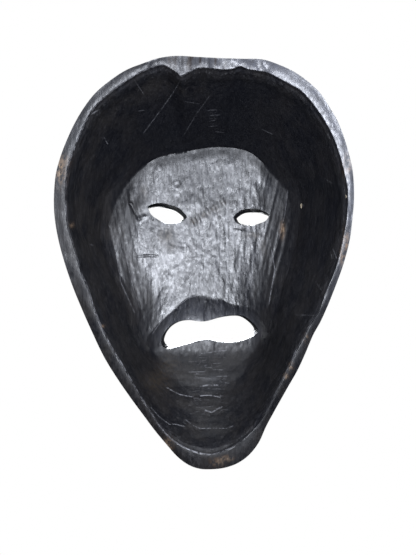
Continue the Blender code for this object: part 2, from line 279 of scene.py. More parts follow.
def hollow_rings(angles):
    """Radius and y of every ring from the plate's middle to the rim, and how far down each one is."""
    shares = [k / PLATE_RINGS for k in range(1, PLATE_RINGS + 1)]
    rows = [(2 - share, *plate_points(angles, share)) for share in shares]
    steps = np.append((np.arange(WALL_RINGS - 2, 0, -1) / (WALL_RINGS - 1)) ** 1.15, 0.006)
    rows += [(step, *wall_points(angles, step)) for step in steps]
    down = np.array([row[0] for row in rows])[:, None] * np.ones(SPOKES)
    radius = np.array([row[1] for row in rows])
    y = np.array([row[2] for row in rows])
    spread = 14
    weights = np.exp(-((np.arange(-spread, spread + 1) / 7) ** 2))
    padded = np.pad(y, ((spread, spread), (0, 0)), mode="edge")
    rounded = sum(w * padded[i : i + len(y)] for i, w in enumerate(weights)) / weights.sum()
    below = ramp(-np.sin(angles), 0.35, 0.75) * ramp(down, 0.1, 0.45)
    y = y + below * (rounded - y)
    return radius, y, down


def hollow_detail(x, z, turn, down):
    """Tool marks of the hollow, as millimetres cut away.

    down is 0 at the rim, 1 at the foot and 2 at the pole.
    """
    wall = 1 - ramp(down, 0.85, 1.0)
    plate = ramp(down, 1.0, 1.1)
    bevel = 1 - ramp(down, 0.06, 0.16)
    cut = wall * 1.1 * scoops(turn * 26, down * 4, 3, around=26)
    fine = wall * 0.35 * scoops(turn * 60, down * 12, 9, around=60)
    cut += fine + bevel * 0.5 * scoops(turn * 90, down * 8, 5, around=90)
    trough = window(x, z, (-34, -292), (40, -230), 8)
    cut += trough * (0.9 * scoops((x + 0.2 * z) / 30, z / 6.0, 21) + 0.35 * scoops(x / 11, z / 2.7, 25))
    left_foot = window(x, z, (50, -212), (80, -92), 5) * ramp(down, 0.75, 0.95)
    right_foot = window(x, z, (-72, -222), (-46, -84), 5) * ramp(down, 0.75, 0.95)
    cut += left_foot * 0.8 * scoops((x - 0.24 * z) / 3.4, z / 60, 31)
    cut += right_foot * 0.8 * scoops((x + 0.24 * z) / 3.2, z / 70, 37)
    cut += plate * 0.7 * scoops((x + 0.05 * z) / 17, z / 38, 41)
    cut += plate * (0.09 * rough_noise(x / 2.6, z / 4.5, 45) + 0.09 * rough_noise(x / 1.7, z / 12, 47))
    cut += (1 - plate) * 0.10 * rough_noise(x / 3.0, z / 3.6, 53)
    cut += 0.9 * bump(x, z, (-105.5, -99.6), (3, 3))  # a dent round the rim peg
    cut += ramp(-z, 212, 222) * plate * 0.16 * rough_noise(x / 2.2, z / 1.4, 57)
    return cut + 0.5 * plate_marks(x, z) * plate


def plate_marks(x, z):
    """Knot, tool strokes and cracks of the face plate."""
    knot = np.hypot(x - 21.7, z + 92.8)
    marks = 0.35 * np.exp(-(((knot - 2.6) / 0.9) ** 2)) - 0.2 * np.exp(-((knot / 1.5) ** 2))
    marks += 1.2 * bump(x, z, (51.5, -111), (4.5, 6))
    for k in range(11):
        mx, mz = 9.5 - 2.5 * k, -123.0 + 1.65 * k
        marks += 0.62 * stroke(x, z, (mx - 1.0, mz - 1.7), (mx + 0.6, mz + 1.7), 0.7)
    for start, end, depth, width in PLATE_CUTS:
        marks += depth * stroke(x, z, start, end, width)
    return marks


# Single cuts in the plate: start, end, depth and width, mm
PLATE_CUTS = (
    ((-24, -128.5), (-30, -129.5), 0.5, 0.8),
    ((-30, -129.5), (-38, -131.5), 0.35, 1.0),
    ((-38, -131.5), (-46, -134), 0.3, 1.0),
    ((59, -97), (58, -108), 1.4, 1.2),
    ((58, -108), (52, -120), 1.5, 1.3),
    ((52, -120), (47, -118), 1.0, 1.2),
    ((53, -150), (45, -149), 0.5, 0.8),
    ((44, -149), (37, -149.5), 0.35, 0.8),
    ((-6, -124), (-9, -138), 0.25, 1.0),
    ((-22, -150), (-25, -168), 0.2, 1.4),
    ((14, -169), (12, -173), 0.4, 1.5),
    ((30, -163), (27, -167), 0.4, 1.5),
    ((21, -158), (24, -160), 0.35, 1.3),
    ((-40, -94), (-43, -106), 0.4, 1.4),
)

# ---------------------------------------------------------------- the carved face, mm
def nose_relief(u, z):
    """Ridge, wings and nostrils, u being taken from the face's centre line."""
    down = np.clip((NOSE_TOP - z) / (NOSE_TOP - NOSE_TIP), 0, 1)
    half_width = 6.5 + 5.5 * down
    height = 3 + 14.5 * down
    ridge = height * np.exp(-(np.abs(u / half_width) ** 2.6))
    ridge = ridge * ramp(z, NOSE_FOOT - 2, NOSE_TIP + 1) * (1 - ramp(z, NOSE_TOP - 8, NOSE_TOP + 12))
    wings = 8.5 * np.exp(-((np.hypot((np.abs(u) - 11.5) / 6.5, (z - NOSE_TIP - 0.5) / 7.5)) ** 2.4))
    nostrils = 2.5 * np.exp(-((np.hypot((np.abs(u) - 7.5) / 3.2, (z - NOSE_FOOT + 1) / 2.6)) ** 2))
    return np.maximum(ridge, wings) - nostrils


def eye_relief(u, z, opening):
    """Socket, brow, lids and the lid's rim round one opening."""
    (middle_x, middle_z), half_length, half_height, _tilt = opening
    across = u - (middle_x - FACE_X)
    socket = -6.5 * np.exp(-((np.hypot(across / 27, (z - EYE_Z + 2) / 19)) ** 3))
    arch = EYE_Z + 21 - 0.009 * across**2
    brow_edge = z - arch
    brow = 4.5 * ramp(brow_edge, -5, -1) * (1 - ramp(brow_edge, 1, 9)) * np.exp(-((across / 30) ** 6))
    ball = np.hypot(across / 23, (z - middle_z) / 12.5)
    lids = 5.2 * np.clip(1 - ball**2.6, 0, 1) ** 0.85
    crease = -0.8 * np.exp(-(((ball - 1.08) / 0.17) ** 2)) * ramp(z, middle_z - 2, middle_z + 3)
    near = np.hypot(across / (half_length + 3.2), (z - middle_z) / (half_height + 2.6))
    rim = 1.1 * np.exp(-(((near - 1) / 0.24) ** 2))
    return socket + brow + lids + crease + rim


def mouth_relief(x, z):
    """Full lips round the opening, with a soft groove above and below."""
    off = distance_to(x, z, MOUTH_OPENING)
    inner = np.sqrt(np.clip(1 - ((3 - off) / 4.5) ** 2, 0, 1))
    outer = 0.5 + 0.5 * np.cos(math.pi * np.clip((off - 3) / 9, 0, 1))
    lip = 5.5 * np.where(off < 3, inner, outer)
    swell = 2.5 * np.exp(-((off / 15) ** 2))
    u = x - FACE_X
    groove_shade = -1.6 * bump(u, z, (0, -196), (3.0, 6)) - 2.0 * bump(u, z, (0, -236), (22, 5))
    return lip + swell + groove_shade


def front_relief(x, z):
    """How far the carved face stands out of the plain dome."""
    u = x - FACE_X
    chin = 6.0 * bump(u, z, (0, CHIN_Z), (20, 13))
    cheeks = 3.5 * (bump(u, z, (50, -158), (20, 26)) + bump(u, z, (-50, -158), (20, 26)))
    forehead = 3.0 * bump(u, z, (0, -70), (45, 26))
    eyes = eye_relief(u, z, EYE_OPENINGS[0]) + eye_relief(u, z, EYE_OPENINGS[1])
    return chin + cheeks + forehead + eyes + nose_relief(u, z) + mouth_relief(x, z)


def front_points(angles, share):
    """The outside from the face's middle (0) to the rim's outer edge (1)."""
    radius = (outline_radius(RIM_OUTLINE, angles) - INSET) * share
    x = POLE[0] + radius * np.cos(angles)
    z = POLE[1] + radius * np.sin(angles)
    dome = FRONT_DEPTH * (1 - share**DOME_ROUND) ** (1 / DOME_SIDE)
    fade = 1 - ramp(share, 0.8, 0.97)
    return radius, -dome - fade * front_relief(x, z)


def front_detail(x, z, turn, share):
    """Knife facets of the outside, as millimetres cut away."""
    face = 1 - ramp(share, 0.75, 0.9)
    facets = 0.9 * scoops((x + 0.1 * z) / 9, z / 17, 61) * face
    facets = facets + 1.5 * scoops(turn * 46, share * 10, 67, around=46) * (1 - face)
    return facets + 0.12 * rough_noise(x / 2.4, z / 20, 71)


# ---------------------------------------------------------------- mask body
def rim_points(angles, share):
    """The rim's face from its inner edge (0) to its outer edge (1), falling a little outwards."""
    inner = outline_radius(RIM_INNER, angles)
    outer = outline_radius(RIM_OUTLINE, angles) - INSET
    radius = inner + (outer - inner) * share
    turn = angles / (2 * math.pi)
    low = ramp(-np.sin(angles), 0.0, 0.6)
    fall = 0.3 + (0.9 + 1.6 * low) * share**1.5
    hewn = 0.5 * scoops(turn * 44, share * 1.2 + 0.1, 81, around=44)
    x = POLE[0] + radius * np.cos(angles)
    split = 0.5 * noise(x / 2.2, share * 1.5, 83) + 0.9 * noise(x / 9, share, 85) + 0.9
    split = ramp(np.sin(angles), 0.93, 0.96) * split
    return radius, -(fall + hewn + split)


def ring_grid():
    """Every ring of the closed skin, from the plate's middle over the rim to the face's middle."""
    angles = np.linspace(0, 2 * math.pi, SPOKES, endpoint=False)
    turn = angles / (2 * math.pi)
    radius, y, down = hollow_rings(angles)
    x = POLE[0] + radius * np.cos(angles)
    z = POLE[1] + radius * np.sin(angles)
    y = y - lip_scoop(x, z) * ramp(down, 0.8, 1.0)
    rings = [np.stack((x, y, z), axis=-1)]
    cuts = [hollow_detail(x, z, turn, down) * ramp(down, 0, 0.05)]

    def add(radius, y, cut=None):
        x = POLE[0] + radius * np.cos(angles)
        z = POLE[1] + radius * np.sin(angles)
        rings.append(np.stack((x, y, z), axis=-1)[None])
        cuts.append((cut(x, z) if cut else np.zeros(SPOKES))[None])

    for share in RIM_SHARES:
        add(*rim_points(angles, share))
    side, cheek = 1 - SIDE_SHARE, SIDE_SHARE - CHEEK_SHARE
    rest = [1 - side * (k / SIDE_RINGS) ** 1.7 for k in range(1, SIDE_RINGS + 1)]
    rest += [SIDE_SHARE - cheek * k / CHEEK_RINGS for k in range(1, CHEEK_RINGS + 1)]
    rest += [CHEEK_SHARE * (1 - k / FRONT_RINGS) for k in range(1, FRONT_RINGS)]
    for share in rest:
        fade = ramp(1 - share, 0, 0.02)
        add(*front_points(angles, share), lambda x, z, s=share, f=fade: f * front_detail(x, z, turn, s))
    return np.concatenate(rings), np.concatenate(cuts)


def carved(rings, cuts):
    """Moves each point of the grid into the wood by its cut, along the surface's own normal."""
    along = np.gradient(rings, axis=0)
    around = np.roll(rings, -1, axis=1) - np.roll(rings, 1, axis=1)
    normal = np.cross(around, along)
    normal /= np.maximum(np.linalg.norm(normal, axis=-1, keepdims=True), 1e-9)
    return rings - normal * cuts[..., None]


def strides(rings):
    """How many spokes each ring skips: more towards the middle, and on the outside."""
    reach = np.hypot(rings[..., 0] - POLE[0], rings[..., 2] - POLE[1]).mean(axis=1)
    rim_end = PLATE_RINGS + WALL_RINGS - 1 + len(RIM_SHARES)
    result = []
    for k, r in enumerate(reach):
        inside = 1 if r > 34 else 2 if r > 17 else 4 if r > 8 else 8 if r > 4 else 16
        outside = 2 if r > 40 else 4 if r > 20 else 8 if r > 10 else 16
        result.append(inside if k < rim_end else outside)
    return result


def closed_skin(rings, name, skips=None):
    """A closed mesh from rings, with one point in the middle of each end ring.

    Each ring uses every n-th of its points, n being its entry in skips.
    """
    skips = skips or [1] * len(rings)
    count = rings.shape[1]
    points, numbers, total = [], [], 0
    for ring, skip in zip(rings, skips, strict=True):
        used = ring[::skip]
        points.append(used)
        numbers.append(np.arange(total, total + len(used)))
        total += len(used)
    faces = []
    for k in range(len(rings) - 1):
        low, high = numbers[k], numbers[k + 1]
        if len(low) == len(high):
            faces += np.stack((low, np.roll(low, -1), np.roll(high, -1), high), axis=-1).tolist()
            continue
        fine, coarse = (low, high) if len(low) > len(high) else (high, low)
        before, middle, after = fine[::2], fine[1::2], np.roll(fine, -2)[::2]
        corner, following = coarse, np.roll(coarse, -1)
        faces += np.stack((before, middle, corner), axis=-1).tolist()
        faces += np.stack((middle, following, corner), axis=-1).tolist()
        faces += np.stack((middle, after, following), axis=-1).tolist()
    for ring in (numbers[0], numbers[-1]):
        faces += [(int(a), int(b), total) for a, b in zip(ring, np.roll(ring, -1), strict=True)]
        total += 1
    points = np.concatenate(points + [rings[0].mean(axis=0)[None], rings[-1].mean(axis=0)[None]])
    mesh = bpy.data.meshes.new(name)
    mesh.from_pydata((points - (0, 0, ORIGIN_Z)) * MM, [], faces)
    bm = bmesh.new()
    bm.from_mesh(mesh)
    bmesh.ops.recalc_face_normals(bm, faces=bm.faces)
    bm.to_mesh(mesh)
    bm.free()
    obj = bpy.data.objects.new(name, mesh)
    bpy.context.scene.collection.objects.link(obj)
    return obj


def prism(sections, name):
    """A closed cutter through sections of equal length, each a list of (x, y, z)."""
    return closed_skin(np.array(sections), name)


def through_curve(corners, count):
    """A closed smooth line with count points through corners."""
    corners = np.array(corners, float)
    knots = np.arange(len(corners))
    at = np.linspace(0, len(corners), count, endpoint=False)
    return np.stack([smooth_through(knots, corners[:, c], at, float(len(corners))) for c in (0, 1)], -1)


def eye_cutter(opening, name):
    """An almond, wider and nearer the nose at the back of the face plate."""
    middle, half_length, half_height, tilt = opening
    towards_nose = -1 if middle[0] > FACE_X else 1
    lean = math.radians(tilt)
    t = np.linspace(0, 2 * math.pi, 72, endpoint=False)
    x0 = half_length * np.cos(t)
    z0 = half_height * np.sin(t) * np.abs(np.sin(t)) ** 0.2
    wobble = 1 + 0.035 * np.sin(3 * t + middle[0]) + 0.02 * np.sin(7 * t)
    sections = []
    for depth, grow, shift in EYE_SECTIONS:
        x = x0 * (0.7 + 0.3 * grow) * wobble
        z = z0 * grow * wobble
        across = middle[0] + x * math.cos(lean) - z * math.sin(lean) + towards_nose * shift
        up = middle[1] + x * math.sin(lean) + z * math.cos(lean) + 0.25 * shift
        sections.append(np.stack((across, np.full_like(x, -depth), up), axis=-1))
    return prism(sections, name)


def mouth_cutter():
    """The mouth's outline, wider at the back and in front than at its waist."""
    line = through_curve(MOUTH_OPENING, 120)
    middle = line.mean(axis=0)
    sections = []
    for depth, grow in MOUTH_SECTIONS:
        across, up = (middle + (line - middle) * (0.5 + 0.5 * grow, grow)).T
        sections.append(np.stack((across, np.full_like(across, -depth), up), axis=-1))
    return prism(sections, "mouth_cutter")


def take_out(body, cutter):
    """Cuts the body with the cutter and removes the cutter."""
    boolean = body.modifiers.new("cut", "BOOLEAN")
    boolean.operation = "DIFFERENCE"
    boolean.solver = "MANIFOLD"
    boolean.object = cutter
    with bpy.context.temp_override(object=body, active_object=body, selected_objects=[body]):
        bpy.ops.object.modifier_apply(modifier=boolean.name)
    bpy.data.objects.remove(cutter, do_unlink=True)


def mask_body():
    """The whole carving, with its three openings cut through."""
    rings, cuts = ring_grid()
    body = closed_skin(carved(rings, cuts), "carved_mask", strides(rings))
    for k, opening in enumerate(EYE_OPENINGS):
        take_out(body, eye_cutter(opening, f"eye_cutter_{k}"))
    take_out(body, mouth_cutter())
    body.data.shade_smooth()
    body.data.set_sharp_from_angle(angle=math.radians(SHARP_ANGLE))
    return body


# ---------------------------------------------------------------- materials
# Linear colours of the wood
SOOT, SOOT_LIGHT = (0.0010, 0.0014, 0.0040), (0.0030, 0.0030, 0.0050)
# Grey-brown of a real dust film, which also serves as painted light on the lit walls
DUST_AND_LIGHT = (0.015, 0.0132, 0.0128)
RUBBED = (0.060, 0.056, 0.056)
POLISH_DARK, POLISH_LIGHT = (0.004, 0.0045, 0.007), (0.034, 0.035, 0.041)
# Pale bluish grey painted into the polished wood as glints
GLINT_PAINT = (0.17, 0.172, 0.18)
# Bluish grey of the painted highlight on the rim's face and the painted sheen in the lip scoop
SHEEN_PAINT = (0.15, 0.155, 0.18)
# Dark brown painted shade in the splits of the lug
GROOVE_SHADE = (0.020, 0.012, 0.009)
STAIN = (0.050, 0.036, 0.022)
# Pale grey of the scratch lines and the rim edge's line: partly bare wood, partly painted glints
BARE_AND_GLINT_LINE = (0.45, 0.45, 0.48)
TAN_DARK, TAN_LIGHT = (0.20, 0.125, 0.075), (0.42, 0.30, 0.20)
PEG_DARK, PEG_LIGHT = (0.42, 0.32, 0.20), (0.80, 0.72, 0.58)
PEG_SOOT = (0.004, 0.004, 0.006)

# Heights of the wood's bumps, metres
STREAK_HEIGHT, MOTTLE_HEIGHT, GRAIN_HEIGHT, PORE_HEIGHT = 0.00013, 0.00010, 0.00008, 0.00003
PEG_FIBRE_HEIGHT = 0.0001
PEG_FADE = 0.0003  # width of the change from soot to bare wood on a peg
WOOD_IOR = 1.6


class Nodes:
    """Short calls for a material's node tree."""

    def __init__(self, name):
        self.material = bpy.data.materials.new(name)
        self.material.use_nodes = True
        self.tree = self.material.node_tree
        self.shader = self.tree.nodes["Principled BSDF"]

    def add(self, kind, **settings):
        node = self.tree.nodes.new(kind)
        for key, value in settings.items():
            if key in node.bl_rna.properties:
                setattr(node, key, value)
            else:
                node.inputs[key.replace("_", " ")].default_value = value
        return node

    def link(self, source, target):
        self.tree.links.new(source, target)

    def place(self, scale):
        """The object's own coordinates in metres, stretched by scale."""
        coords = self.add("ShaderNodeTexCoord")
        mapping = self.add("ShaderNodeMapping")
        mapping.inputs["Scale"].default_value = scale
        self.link(coords.outputs["Object"], mapping.inputs["Vector"])
        return mapping.outputs["Vector"]

    def noise(self, scale, detail=4.0, rough=0.55, distortion=0.0):
        node = self.add("ShaderNodeTexNoise", Scale=1.0, Detail=detail, Roughness=rough)
        node.inputs["Distortion"].default_value = distortion
        self.link(self.place(scale), node.inputs["Vector"])
        return node.outputs["Fac"]

    def ramp(self, value, low, high, to_low=0.0, to_high=1.0):
        node = self.add("ShaderNodeMapRange", From_Min=low, From_Max=high, To_Min=to_low, To_Max=to_high)
        self.link(value, node.inputs["Value"])
        return node.outputs["Result"]

    def math(self, operation, a, b):
        node = self.add("ShaderNodeMath", operation=operation)
        for socket, value in zip(node.inputs, (a, b), strict=False):
            if isinstance(value, (int, float)):
                socket.default_value = value
            else:
                self.link(value, socket)
        return node.outputs["Value"]

    def mix(self, factor, a, b):
        """Colour a, going over to b by factor, through the node's colour sockets."""
        node = self.add("ShaderNodeMix", data_type="RGBA")
        sockets = (node.inputs[0], node.inputs[6], node.inputs[7])
        for socket, value in zip(sockets, (factor, a, b), strict=True):
            if isinstance(value, tuple):
                socket.default_value = (*value, 1)
            elif isinstance(value, (int, float)):
                socket.default_value = value
            else:
                self.link(value, socket)
        return node.outputs[2]

    def attribute(self, name):
        node = self.add("ShaderNodeAttribute", attribute_name=name)
        return node.outputs["Fac"]

    def bump(self, height, distance, strength=1.0, below=None):
        node = self.add("ShaderNodeBump", Strength=strength, Distance=distance)
        self.link(height, node.inputs["Height"])
        if below:
            self.link(below, node.inputs["Normal"])
        return node.outputs["Normal"]


def blackened_wood():
    """Soot-black wood: polished, dusty, stained, scratched and worn where the attributes say so, with
    painted light, highlights, glints and shade laid into its colour where they say so too.
    """
    n = Nodes("blackened_wood")
    gloss = n.attribute("gloss")
    grain = n.noise((700, 700, 45), detail=6, rough=0.65)
    streaks = n.noise((330, 330, 34), detail=3, rough=0.5, distortion=0.4)
    mottle = n.noise((460, 460, 300), detail=3, rough=0.55)
    patches = n.noise((60, 60, 42), detail=4, rough=0.6)
    pores = n.noise((1500, 1500, 300), detail=2)
    strokes = n.noise((420, 420, 70), detail=6, rough=0.75, distortion=0.8)
    # Partly real dust, partly painted light: lighter grey-brown where the walls are lit, none on the
    # shaded top wall
    dust_and_light = n.math("MULTIPLY", n.attribute("dust_and_light"), n.ramp(patches, 0.40, 0.60, 0.1, 1.3))
    deep = n.mix(n.ramp(patches, 0.45, 0.65), SOOT, SOOT_LIGHT)
    deep = n.mix(dust_and_light, deep, DUST_AND_LIGHT)
    # Rubbed strokes are real wear, but they are scaled by the same mask, so they carry its painted light
    # too
    on_dust_and_light = n.ramp(n.attribute("dust_and_light"), 0.0, 1.0, 0.10, 1.0)
    rubbed = n.math("MULTIPLY", n.ramp(strokes, 0.50, 0.78), on_dust_and_light)
    deep = n.mix(rubbed, deep, RUBBED)
    polished = n.mix(n.ramp(streaks, 0.38, 0.64), POLISH_DARK, POLISH_LIGHT)
    # Painted glints: pale flecks where grain and mottle meet on the polished wood
    glint_paint = n.math("MULTIPLY", n.ramp(grain, 0.52, 0.68), n.ramp(mottle, 0.42, 0.62))
    polished = n.mix(glint_paint, polished, GLINT_PAINT)
    # Lighter polished colour where gloss is high: partly worn polish, partly painted highlight on the rim
    # and painted shade in the plate's dips
    base = n.mix(gloss, deep, polished)
    # Painted highlight on the rim and painted sheen in the lip scoop
    sheen_paint = n.math("MULTIPLY", n.attribute("sheen_paint"), n.ramp(mottle, 0.3, 0.7, 0.25, 1.1))
    base = n.mix(sheen_paint, base, SHEEN_PAINT)
    # Painted shade in the lug's splits
    groove_shade = n.math("MULTIPLY", n.attribute("groove_shade"), n.ramp(grain, 0.25, 0.5, 0.5, 1.0))
    base = n.mix(groove_shade, base, GROOVE_SHADE)
    stain = n.math("MULTIPLY", n.attribute("stain"), n.ramp(mottle, 0.35, 0.6))
    base = n.mix(stain, base, STAIN)
    broken = n.ramp(mottle, 0.36, 0.60, 0.0, 1.0)
    # Pale lines of the scratches, tool marks and the rim's inner edge: partly bare wood, partly painted
    # glints
    for name, reach in (("mark", 0.45), ("edge", 0.65)):
        offset = n.math("ABSOLUTE", n.attribute(name + "_offset"), 0.0)
        line = n.ramp(offset, 0.2 * reach, reach, 1.0, 0.0)
        line = n.math("MULTIPLY", line, n.attribute(name + "_strength"))
        base = n.mix(n.math("MULTIPLY", line, broken), base, BARE_AND_GLINT_LINE)
    tan = n.mix(n.ramp(grain, 0.35, 0.7), TAN_DARK, TAN_LIGHT)
    worn = n.math("MULTIPLY", n.attribute("wear"), n.ramp(mottle, 0.40, 0.58))
    n.link(n.mix(worn, base, tan), n.shader.inputs["Base Color"])
    dull = n.ramp(mottle, 0.35, 0.65, 0.10, -0.08)
    rough = n.math("ADD", n.ramp(gloss, 0.0, 1.0, 0.46, 0.29), dull)
    rough = n.math("ADD", rough, n.math("MULTIPLY", n.attribute("stain"), 0.22))
    n.link(n.math("ADD", rough, n.math("MULTIPLY", worn, 0.2)), n.shader.inputs["Roughness"])
    n.shader.inputs["IOR"].default_value = WOOD_IOR
    low = n.bump(streaks, STREAK_HEIGHT)
    middle = n.bump(mottle, MOTTLE_HEIGHT, below=low)
    fine = n.bump(grain, GRAIN_HEIGHT, below=middle)
    n.link(n.bump(pores, PORE_HEIGHT, below=fine), n.shader.inputs["Normal"])
    return n.material


def peg_wood(name, bare_from):
    """Pale end grain where x is over bare_from, and soot-black short of it."""
    n = Nodes(name)
    fibres = n.noise((900, 900, 900), detail=4)
    pale = n.mix(n.ramp(fibres, 0.35, 0.7), PEG_DARK, PEG_LIGHT)
    coords = n.add("ShaderNodeTexCoord")
    apart = n.add("ShaderNodeSeparateXYZ")
    n.link(coords.outputs["Object"], apart.inputs["Vector"])
    bare = n.ramp(apart.outputs["X"], bare_from, bare_from + PEG_FADE)
    n.link(n.mix(bare, PEG_SOOT, pale), n.shader.inputs["Base Color"])
    n.link(n.ramp(fibres, 0.3, 0.7, 0.45, 0.65), n.shader.inputs["Roughness"])
    n.link(n.bump(fibres, PEG_FIBRE_HEIGHT), n.shader.inputs["Normal"])
    return n.material


# ---------------------------------------------------------------- wear, stains and scratches, mm
# Bare, tan spots: middle (x, y, z), reach and strength
WORN_SPOTS = (
    ((107.5, -1, -86), (4, 4, 9), 0.9),
    ((105, -1, -80), (4, 4, 5), 0.6),
    ((-107, -1, -82), (3, 4, 7), 0.7),
    ((-106, -1, -141), (2.0, 4, 9), 0.9),
    ((-103.5, -1, -150), (2.0, 4, 6), 0.8),
    ((27, -2, -292), (3, 5, 5), 0.8),
    ((-16, -3, -301.5), (5, 4, 1.6), 0.9),
    ((-10, -3, -304), (5, 4, 3), 0.5),
    ((-76, -2, -212), (1.5, 4, 2.5), 0.8),
    ((-65, -2, -233), (1.5, 4, 3), 0.8),
    ((-61.5, -3, -240), (1.5, 4, 2), 0.9),
    ((-62, -60, -129), (1.6, 12, 6), 0.9),
    ((99, -5, -127), (1.6, 8, 2), 0.9),
    ((76, -8, -203), (1.6, 8, 1.2), 0.8),
)
# Brown, dull stains: middle (x, z), reach and strength
STAINS = (
    ((30, -133), (7, 6), 0.9),
    ((27, -141), (4, 5), 0.6),
    ((8, -122), (5, 3), 0.8),
    ((0, -117), (6, 3), 0.8),
    ((-8, -112), (5, 3), 0.7),
    ((-15, -107), (3, 3), 0.5),
    ((-38, -133), (7, 2.2), 0.8),
    ((-47, -142), (3, 7), 0.5),
    ((36, -246), (10, 8), 0.6),
    ((28, -236), (9, 7), 0.4),
    ((48, -98), (3, 6), 0.5),
)
# Long thin scratches and tool marks, painted pale: partly bare wood, partly painted glints where their
# edges catch the light. Corners of each line, width and strength
SCRATCHES_AND_GLINTS = (
    (((18, -19), (33, -37), (47, -54)), 0.56, 0.22),
    (((-4, -28), (6, -40), (16, -55)), 0.48, 0.15),
    (((88, -47), (79, -41)), 0.72, 0.34),
    (((52, -19), (46, -27)), 0.48, 0.19),
    (((50, -39), (45, -38)), 0.48, 0.19),
    (((76, -60), (74, -64)), 0.64, 0.34),
    (((-45, -51), (-53, -55)), 0.48, 0.19),
    (((-3, -37.5), (-9, -37)), 0.40, 0.21),
    (((-4, -41), (-12, -40.5)), 0.40, 0.21),
    (((-3, -45), (-9, -44)), 0.40, 0.21),
    (((-4, -48.5), (-10, -48)), 0.40, 0.21),
    (((-9, -52), (-15, -52.5)), 0.40, 0.22),
    (((4, -33), (16, -32)), 0.40, 0.14),
    (((-95, -147), (-96.5, -152)), 0.48, 0.26),
    (((-97, -145), (-99, -152)), 0.48, 0.26),
    (((-92, -91), (-97, -95)), 0.48, 0.17),
    (((-85, -170), (-88, -176)), 0.48, 0.19),
    (((-70, -195), (-82, -195)), 0.48, 0.17),
    (((88, -141), (86, -141.5)), 0.80, 0.30),
    (((-52, -136), (-56, -160), (-51, -188)), 0.56, 0.41),
    (((-66, -98), (-64, -116), (-58, -140)), 0.56, 0.26),
    (((-57, -160), (-52, -186)), 0.48, 0.26),
    (((71, -140), (66, -170), (55, -194)), 0.56, 0.26),
    (((62, -150), (56, -176), (51, -190)), 0.48, 0.22),
    (((41, -211), (34, -201), (26, -194), (18, -187), (12, -182.5), (7, -181.5)), 0.48, 0.34),
    (((2, -182.5), (-9, -184)), 0.40, 0.19),
    (((29, -252), (19, -257.5), (9, -259.5)), 0.56, 0.56),
    (((3, -258.8), (-4, -258.4), (-12, -259.6)), 0.56, 0.60),
    (((3, -252), (-3, -251), (-11, -251)), 0.80, 0.45),
    (((-1, -269), (-6, -270.5), (-10, -268), (-14, -266.5)), 0.80, 0.45),
    (((40, -264), (33, -272), (25, -278)), 0.48, 0.34),
    (((24, -277), (15, -279.5)), 0.56, 0.38),
    (((14, -275), (9, -279), (3, -281.5), (-18, -281)), 0.40, 0.38),
    (((-17, -281), (-22, -279)), 0.56, 0.26),
)
# How brightly the rim's inner edge shows, partly bare rubbed wood and partly a painted glint; how strong
# the painted highlight on its face is; and how polished it is: bearing in degrees from +X by the top, and
# strength
EDGE_SHINE = (
    (0, 0.35), (20, 0.45), (40, 0.8), (60, 0.8), (75, 1.0), (84, 0.7), (92, 0.1), (150, 0.0),
    (200, 0.1), (232, 0.45), (246, 0.3), (256, 0.1), (268, 0.7), (300, 0.75), (318, 1.0),
    (328, 0.9), (345, 0.5),
)  # fmt: skip
RIM_SHEEN_PAINT = (
    (0, 0.0), (30, 0.05), (60, 0.1), (80, 0.15), (95, 0.6), (110, 0.95), (140, 1.0), (165, 0.95),
    (180, 0.45), (200, 0.15), (225, 0.02), (260, 0.0), (310, 0.0), (345, 0.0),
)  # fmt: skip
RIM_GLOSS = (
    (0, 0.15), (20, 0.2), (45, 0.3), (75, 0.35), (90, 0.6), (110, 0.9), (150, 0.9), (170, 0.7),
    (190, 0.5), (215, 0.25), (250, 0.06), (300, 0.06), (330, 0.08),
)  # fmt: skip


def rows_of_marks():
    """Short level tool marks below the mouth, painted as pale glints on their edges, in the form of the
    scratch table.
    """
    rows = []
    for k in range(30):
        height = -225 - 1.6 * k
        middle = -3 + 9 * (chance(k, 1, 5) - 0.5) + (6 if k % 3 else -9)
        half = 3 + 5 * chance(k, 2, 5)
        tilt = 1.2 * (chance(k, 3, 5) - 0.5)
        bright = (0.10 + 0.25 * chance(k, 4, 5)) * (1 if k < 16 else 0.5)
        rows.append((((middle - half, height - tilt), (middle + half, height + tilt)), 0.4, bright))
    return tuple(rows)


